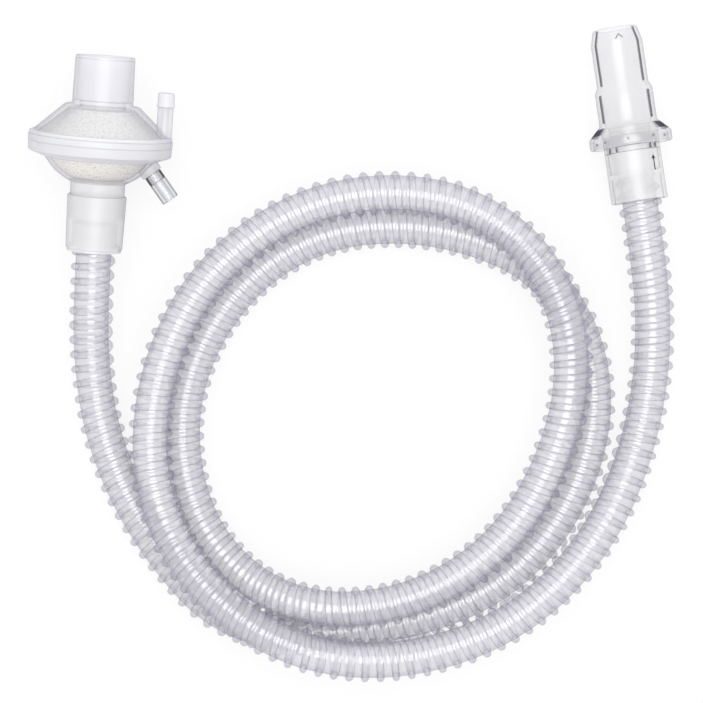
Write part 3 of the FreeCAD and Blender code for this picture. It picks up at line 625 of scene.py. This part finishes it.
# %% [markdown]
# ## The cap
# A cap is pushed on the upright port and comes off by hand, so it is a piece of its own. It is
# turned about the port's axis, with the plug that reaches into the port's bore.

# %% The cap on the upright port
cap_outline = corners(
    lavender, (0, 56.7), (1.4, 56.7), (1.55, 57.0), (1.55, 60.6), (3.5, 60.6), (3.72, 60.8), (3.75, 61.8),
    (3.6, 62.1), (3.5, 62.3), (3.4, 66.0), (3.2, 66.45), (2.8, 66.6), (1.6, 66.6), (1.4, 66.4), (0, 66.35))
turned_piece("port_cap", filter_place, [(post_way, cap_outline)],
             "sampling_port_cap")

# %% [markdown]
# ## The crimped paper
# A roll of crimped paper fills the bowl and holds the moisture of the breath. Modelling each
# fold would cost a great many faces for flecks of a few pixels, so it is one turned solid that
# follows the bowl 0.2 mm inside its wall, and the material carries the flecks.

# %% The crimped paper that fills the bowl
medium_outline = corners(
    paper, (0, 28.95), (9.9, 28.95), *bowed((10.0, 28.95), (20.95, 38.5), 21.4), (20.95, 39.6), (0, 39.6))
turned_piece("bowl_medium", filter_place, [(ON_AXIS, medium_outline)],
             "moisture_exchanger")

# %% [markdown]
# ## The slanted stub
# A short clear tube pressed into the slanted boss. It shares the boss's matrix, so it stands
# straight in it whatever the slant.

# %% The slanted port's clear stub
stub_outline = [
    *corners(skin, (3.2, 0.9)),
    *corners(stub_foot, (3.2, 2.5), (3.7, 2.6), (3.7, 6.2), (3.4, 6.25)),
    *corners(stub_clear, (3.4, 6.3), (3.7, 6.5), (3.68, 15.1), (3.4, 15.6), (2.3, 15.65), (2.1, 15.4),
             (2.1, 0.9)),
]
turned_piece("slanted_stub", filter_place, [(port_way, stub_outline)],
             "slanted_port_stub")

# %% [markdown]
# ## The cuff
# A milky sleeve that is pulled over the filter's neck and holds the end of the hose. Its outline
# has the two steps inside on which the neck and the hose come to rest.

# %% The cuff that joins the filter to the hose
cuff_outline = corners(
    milky, (11.55, 0), (11.78, 0.25), (12.3, 21.5), (12.2, 22.0), (11.9, 22.2), (11.4, 22.2), (11.35, 22.0),
    (11.35, 12.3), (8.0, 12.3), (8.0, 10.5), (9.3, 10.5), (9.3, 1.4), (10.9, 1.4), (10.9, -0.9),
    (11.25, -1.1), (11.3, -0.2))
turned_piece("hose_cuff", filter_place, [(ON_AXIS, cuff_outline)], "filter_cuff")

# %% [markdown]
# ## The valve's outlet
# The clear half of the valve: an umbrella skirt over the openings, a barrel, a shoulder and the
# end that goes to the patient. A clear moulding shows little but its inner walls, so the
# stretches that read as dark lines have a finish of their own.

# %% The valve's outlet: spigot, skirt, barrel and the end that goes to the patient
outlet_outline = [
    *corners(glassy, (8.6, 25.0), (10.5, 25.0), (10.5, 28.0)),
    *corners(skin, (12.1, 28.0)),
    *corners(glassy, (12.1, 31.6)),
    *corners(skin, (15.9, 27.3), (15.9, 23.9)),
    *corners(skin, (16.1, 23.6), (16.9, 23.6), (17.25, 24.0), (17.3, 24.6), (17.3, 27.6), (17.0, 28.2)),
    *corners(inner_wall, (16.4, 28.8)),
    *corners(skin, (13.4, 31.8), (12.4, 32.8)),
    *corners(skin, (12.3, 33.0), (12.1, 33.6), (12.1, 46.6), (11.9, 47.2), (11.0, 48.9), (10.8, 49.4),
             (10.8, 66.8), (10.7, 67.4), (9.5, 72.2), (9.2, 72.8), (8.9, 73.0), (8.1, 73.0)),
    *corners(inner_wall, (7.85, 72.7), (9.3, 67.1)),
    *corners(glassy, (9.3, 49.9)),
    *corners(inner_wall, (10.6, 45.8)),
    *corners(glassy, (10.6, 34.4), (8.6, 31.6)),
]
turned_piece("outlet_moulding", valve_place, [(ON_AXIS, outlet_outline)],
             "valve_outlet_body")

# %% [markdown]
# ## The valve's inlet
# A sleeve over the end of the hose, with narrow slots through which the breath leaves. The slots
# are simply left open while the wall is turned, which is quicker than a boolean and gives clean
# edges.

# %% The valve's inlet: sleeve over the hose, seat tube and slots
inlet_outline = [
    *corners(sleeve_wall, (10.4, 0), (11.4, 0), (11.75, 0.15), (11.88, 0.5)),
    *corners(step_line, (11.73, 20.7)),
    *corners(sleeve_wall, (11.72, 21.1)),
    *corners(step_line, (11.7, 23.1)),
    *corners(sleeve_wall, (11.7, 23.5), (11.7, 27.7), (11.5, 28.0), (10.75, 28.0)),
    *corners(seat_wall, (10.6, 27.8), (10.6, 23.1), (10.6, 21.1), (10.6, 12.5)),
    *corners(sleeve_wall, (8.9, 12.5), (8.9, 21.4), (8.7, 21.6), (7.7, 21.6), (7.6, 21.4), (7.6, 10.5)),
    *corners(seat_wall, (10.4, 10.5)),
]
SLOT_WIDTH = 7.5                                    # degrees
SLOT_TURNS = (208.75, 228.75, 301.25, 316.25)       # where each slot on the upper side begins
SLOT_HEIGHTS = (21.1, 23.1)
lower_turns = [360 - SLOT_WIDTH - turn for turn in SLOT_TURNS]
slots = [(turn, turn + SLOT_WIDTH) for turn in (*SLOT_TURNS, *lower_turns)]
# The slots' sides carry painted shade: the grey of the shadow that gathers in them.
turned_piece("inlet_sleeve", valve_place, [(ON_AXIS, inlet_outline)],
             "valve_inlet_body", slots, SLOT_HEIGHTS, (glassy, painted_shade_grey))

# %% [markdown]
# ## Pips under the skirt
# Small pips keep the skirt away from the sleeve, so that the breath can always leave. One ball is
# placed on each corner of a circle, so the count and the radius can be changed in one place.

# %% A ring of pips between the skirt and the barrel
PIP_HEIGHT = 25.9 * MM

pip_tree, start = geometry_tree("ring_of_pips", {
    "Count": "Int", "Ring Radius": "Float", "Pip Radius": "Float", "First Turn": "Float"})
spots = add(pip_tree, "GeometryNodeMeshCircle", {
    "Vertices": start.outputs["Count"], "Radius": start.outputs["Ring Radius"]})
ball = add(pip_tree, "GeometryNodeMeshIcoSphere", {
    "Radius": start.outputs["Pip Radius"], "Subdivisions": 2})
pips = add(pip_tree, "GeometryNodeInstanceOnPoints", {
    "Points": spots.outputs[0], "Instance": ball.outputs[0]})
about_axis = add(pip_tree, "ShaderNodeCombineXYZ", {"Z": start.outputs["First Turn"]})
aimed = add(pip_tree, "GeometryNodeTransform", {
    "Geometry": pips.outputs[0], "Rotation": about_axis.outputs[0]})
close_tree(pip_tree, start, aimed.outputs[0])
# The pips are clear plastic; their grey is painted shade for the shadow that gathers round them.
skirt_pips = grown("skirt_pips", bpy.data.meshes.new("pip_base"), pip_tree, {
    "Count": 8, "Ring Radius": 14.3 * MM, "Pip Radius": 0.6 * MM, "First Turn": math.radians(-10),
    "Finish": painted_shade_grey})
skirt_pips.data.transform(valve_place @ Matrix.Translation((0, 0, PIP_HEIGHT)))
skirt_pips.data.shade_smooth()
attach(skirt_pips, "circuit")


# %% [markdown]
# ## Marks on the valve
# A moulded chevron at the mouth and a printed arrow that shows the way of the flow. A picture
# would be too coarse for such thin strokes. Each stroke is a flat polygon instead, wrapped on
# the round surface with a hair of air below it.

# %% A chevron and an arrow
MARK_LIFT = 0.04        # all sizes here are in mm


def laid_on(name, place, strokes, surface_radius, finish):
    """Flat polygons of (across, along) mm corners wrapped on a round surface, across from its top."""
    shape = bmesh.new()
    for stroke in strokes:
        verts = []
        for across, along in stroke:
            radius = surface_radius(along) + MARK_LIFT
            turn = across / radius
            verts.append(shape.verts.new(place @ Vector((
                radius * math.sin(turn) * MM, -radius * math.cos(turn) * MM, along * MM))))
        shape.faces.new(verts)
    bmesh.ops.recalc_face_normals(shape, faces=shape.faces)
    mesh = bpy.data.meshes.new(name)
    shape.to_mesh(mesh)
    shape.free()
    mesh.materials.append(finish)
    piece = bpy.data.objects.new(name, mesh)
    bpy.context.scene.collection.objects.link(piece)
    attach(piece, "circuit")


def sleeve_radius(along):
    """The sleeve narrows by 0.2 mm from its foot to its end."""
    return 11.9 - 0.2 * along / 21.6


def nose_radius(along):
    """The nose narrows by 1.5 mm over its last 5.9 mm."""
    return 10.85 - 1.5 * (along - 67.1) / 5.9


ARROW_ACROSS = 7.7      # from the top of the sleeve, round its surface
arrow = [[(-0.28, 11.6), (0.28, 11.6), (0.28, 16.8), (-0.28, 16.8)],
         [(-1.2, 16.2), (0, 16.7), (0, 18.2)],
         [(0, 16.7), (1.2, 16.2), (0, 18.2)]]
arrow = [[(ARROW_ACROSS + across, along) for across, along in stroke] for stroke in arrow]
laid_on("flow_arrow", valve_place, arrow, sleeve_radius, ink)

chevron = [[(-1.7, 67.9), (-1.2, 67.7), (0.1, 69.3), (0.0, 69.9)],
           [(0.0, 69.9), (0.1, 69.3), (1.5, 67.9), (1.9, 68.2)]]
# The chevron is moulded in the clear plastic; its grey is painted shade for the shadow in its ridges.
laid_on("mouth_chevron", valve_place, chevron, nose_radius, painted_shade_grey)
print("marks: %d strokes" % (len(arrow) + len(chevron)))

# %% [markdown]
# ## The felt and the shutter
# Both lie inside and are only seen through a wall. Their measured meshes are good enough, so
# they keep them and get a finish.

# %% Finishes of the nodes that stay
FINISHES = {"filter_pad": felt, "valve_shutter": silicone}
for name, finish in FINISHES.items():
    nodes[name].material_slots[0].material = finish
    print("%s: %s" % (name, finish.name))


# %% [markdown]
# ## Light and ground
# A wide soft lamp straight above gives every turn of the hose its bright broken line, and an even
# pale surround fills the rest. The ground and the surround look white without lighting the object
# more, because they only do so for what sees them directly or by reflection.

# %% Ground, surround and lamps
def seen_ray(tree):
    """1 for what the camera sees straight, in a reflection or through clear plastic, else 0."""
    rays = add(tree, "ShaderNodeLightPath")
    mirror = add(tree, "ShaderNodeMath", {
        0: rays.outputs["Is Camera Ray"], 1: rays.outputs["Is Glossy Ray"]}, operation="MAXIMUM")
    return add(tree, "ShaderNodeMath", {0: mirror.outputs[0], 1: rays.outputs["Is Transmission Ray"]},
               operation="MAXIMUM").outputs[0]


GROUND_HALF = 4.0
GROUND_GLOW = 0.8           # share of its own white in the ground that is seen
SURROUND_LIGHT = 0.72       # what the surround gives to the object
LAMP_SIZE, LAMP_WATTS, LAMP_SPOT = 1.2, 11.5, (0, -0.08, 1.35)

paper_ground = bpy.data.materials.new("matt_white_ground")
paper_ground.use_nodes = True
tree = paper_ground.node_tree
tree.nodes.clear()
matt = add(tree, "ShaderNodeBsdfDiffuse", {"Color": linear("F4F4F5")})
glow = add(tree, "ShaderNodeEmission", {"Color": (1, 1, 1, 1), "Strength": 1.0})
share = add(tree, "ShaderNodeMath", {0: seen_ray(tree), 1: GROUND_GLOW}, operation="MULTIPLY")
both = add(tree, "ShaderNodeMixShader", {"Fac": share.outputs[0], 1: matt.outputs[0], 2: glow.outputs[0]})
add(tree, "ShaderNodeOutputMaterial", {"Surface": both.outputs[0]})

ground_mesh = bpy.data.meshes.new("ground")
ground_corners = [(x * GROUND_HALF, y * GROUND_HALF, 0) for x, y in ((-1, -1), (1, -1), (1, 1), (-1, 1))]
ground_mesh.from_pydata(ground_corners, [], [(0, 1, 2, 3)])
ground_mesh.materials.append(paper_ground)
ground = bpy.data.objects.new("ground", ground_mesh)
bpy.context.scene.collection.objects.link(ground)

world = bpy.data.worlds.new("pale_surround")
bpy.context.scene.world = world
world.use_nodes = True
tree = world.node_tree
tree.nodes.clear()
strength = add(tree, "ShaderNodeMapRange", {
    "Value": seen_ray(tree), "To Min": SURROUND_LIGHT, "To Max": 1.0})
sky = add(tree, "ShaderNodeBackground", {"Color": (1, 1, 1, 1), "Strength": strength.outputs[0]})
add(tree, "ShaderNodeOutputWorld", {"Surface": sky.outputs[0]})

lamp_data = bpy.data.lights.new("overhead_softbox", "AREA")
lamp_data.shape = "DISK"
lamp_data.size = LAMP_SIZE
lamp_data.energy = LAMP_WATTS
lamp = bpy.data.objects.new("overhead_softbox", lamp_data)
lamp.location = LAMP_SPOT
bpy.context.scene.collection.objects.link(lamp)

bpy.context.scene.view_settings.view_transform = "Standard"
print("lamp %.1f m wide, %.2f m up" % (LAMP_SIZE, LAMP_SPOT[2]))
